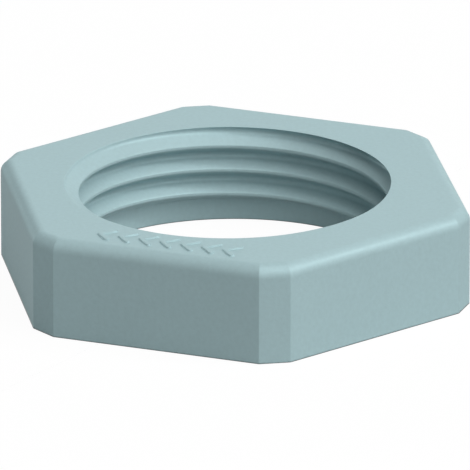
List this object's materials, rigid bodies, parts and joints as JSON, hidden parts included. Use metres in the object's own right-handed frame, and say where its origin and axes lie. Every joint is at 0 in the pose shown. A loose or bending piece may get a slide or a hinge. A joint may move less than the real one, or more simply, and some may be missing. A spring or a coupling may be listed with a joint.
{
  "type": "cable gland locknut",
  "caption": "Thin hexagonal plastic locknut with cut-back corners, an internal thread and a plain counterbore, for clamping a cable gland in a wall.",
  "frame": {"origin": "centre of the seating face, on the thread axis", "axes": "+Z along the thread axis away from the seating face; +X square to one flat, so the flats face 0, 60, 120, 180, 240 and 300 degrees; +Y through a cut-back corner"},
  "size_m": [0.026, 0.029, 0.006],
  "materials": {
    "moulded_plastic": "moulded nylon-type plastic, blue-grey, fine satin surface"
  },
  "bodies": {
    "root": {"locknut": "moulded_plastic"}
  },
  "joints": []
}
